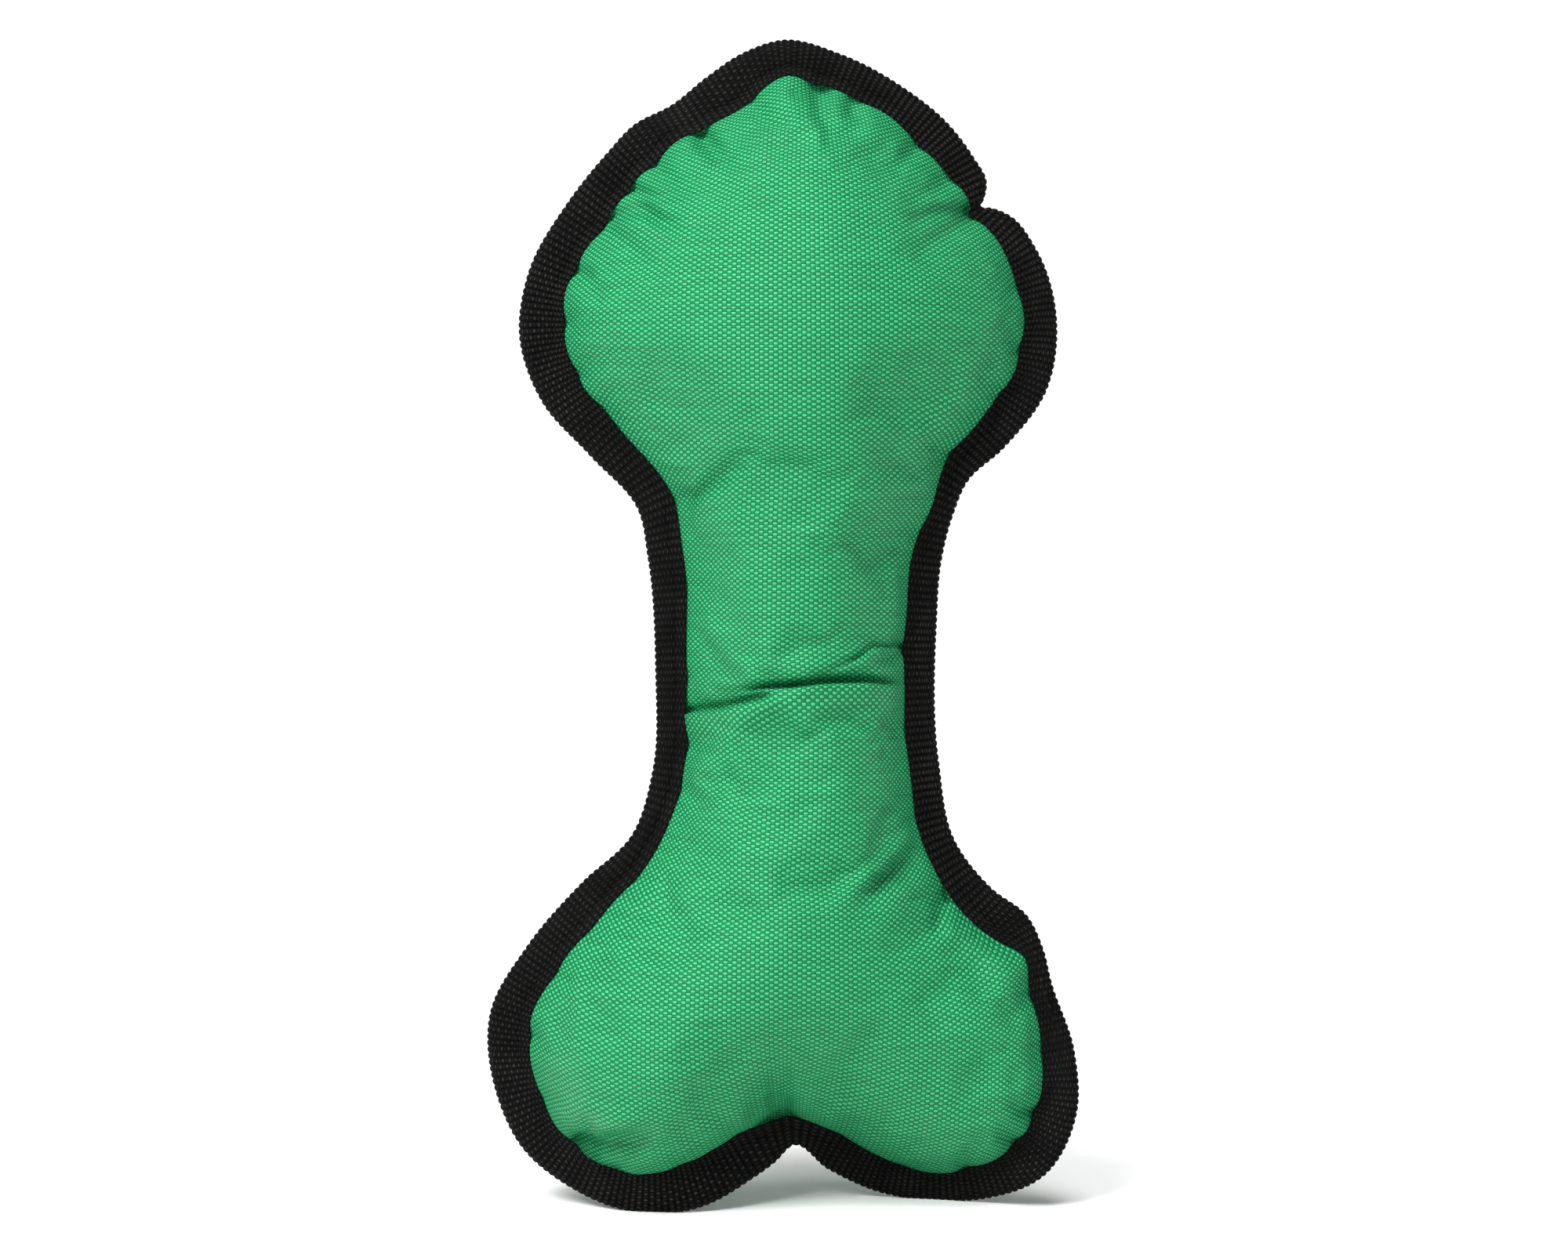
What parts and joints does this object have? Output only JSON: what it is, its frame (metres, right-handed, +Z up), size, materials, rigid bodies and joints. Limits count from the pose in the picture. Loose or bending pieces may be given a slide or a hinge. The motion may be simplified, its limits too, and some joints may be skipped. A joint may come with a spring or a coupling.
{
  "type": "stuffed training bumper",
  "caption": "Bone-shaped stuffed cloth training bumper: two sewn cloth panels bound at the edge with folded webbing tape, fibre filled, with a squeaker inside.",
  "frame": {"origin": "on the floor under the middle of the bone, which stands on its two lower lobes", "axes": "+Z up along the shank towards the crown, +X to the right as seen from the front, +Y from the front panel to the back panel"},
  "size_m": [0.1421, 0.0671, 0.2801],
  "materials": {
    "green_cloth": "woven polyester, slight sheen",
    "black_webbing": "ribbed woven tape, matte",
    "black_thread": "twisted polyester thread",
    "fibrefill": "loose polyester fibre",
    "soft_vinyl": "soft moulded",
    "white_plastic": "moulded"
  },
  "bodies": {
    "root": {"front_panel": "green_cloth", "back_panel": "green_cloth", "edge_binding": "black_webbing", "overlock_thread": "black_thread", "needle_thread": "black_thread", "bobbin_thread": "black_thread", "binding_end_tack": "black_thread", "fill_upper": "fibrefill", "fill_shank": "fibrefill", "fill_lower": "fibrefill", "squeaker_bulb": "soft_vinyl", "squeaker_whistle": "white_plastic", "squeaker_reed": "white_plastic"}
  },
  "joints": []
}
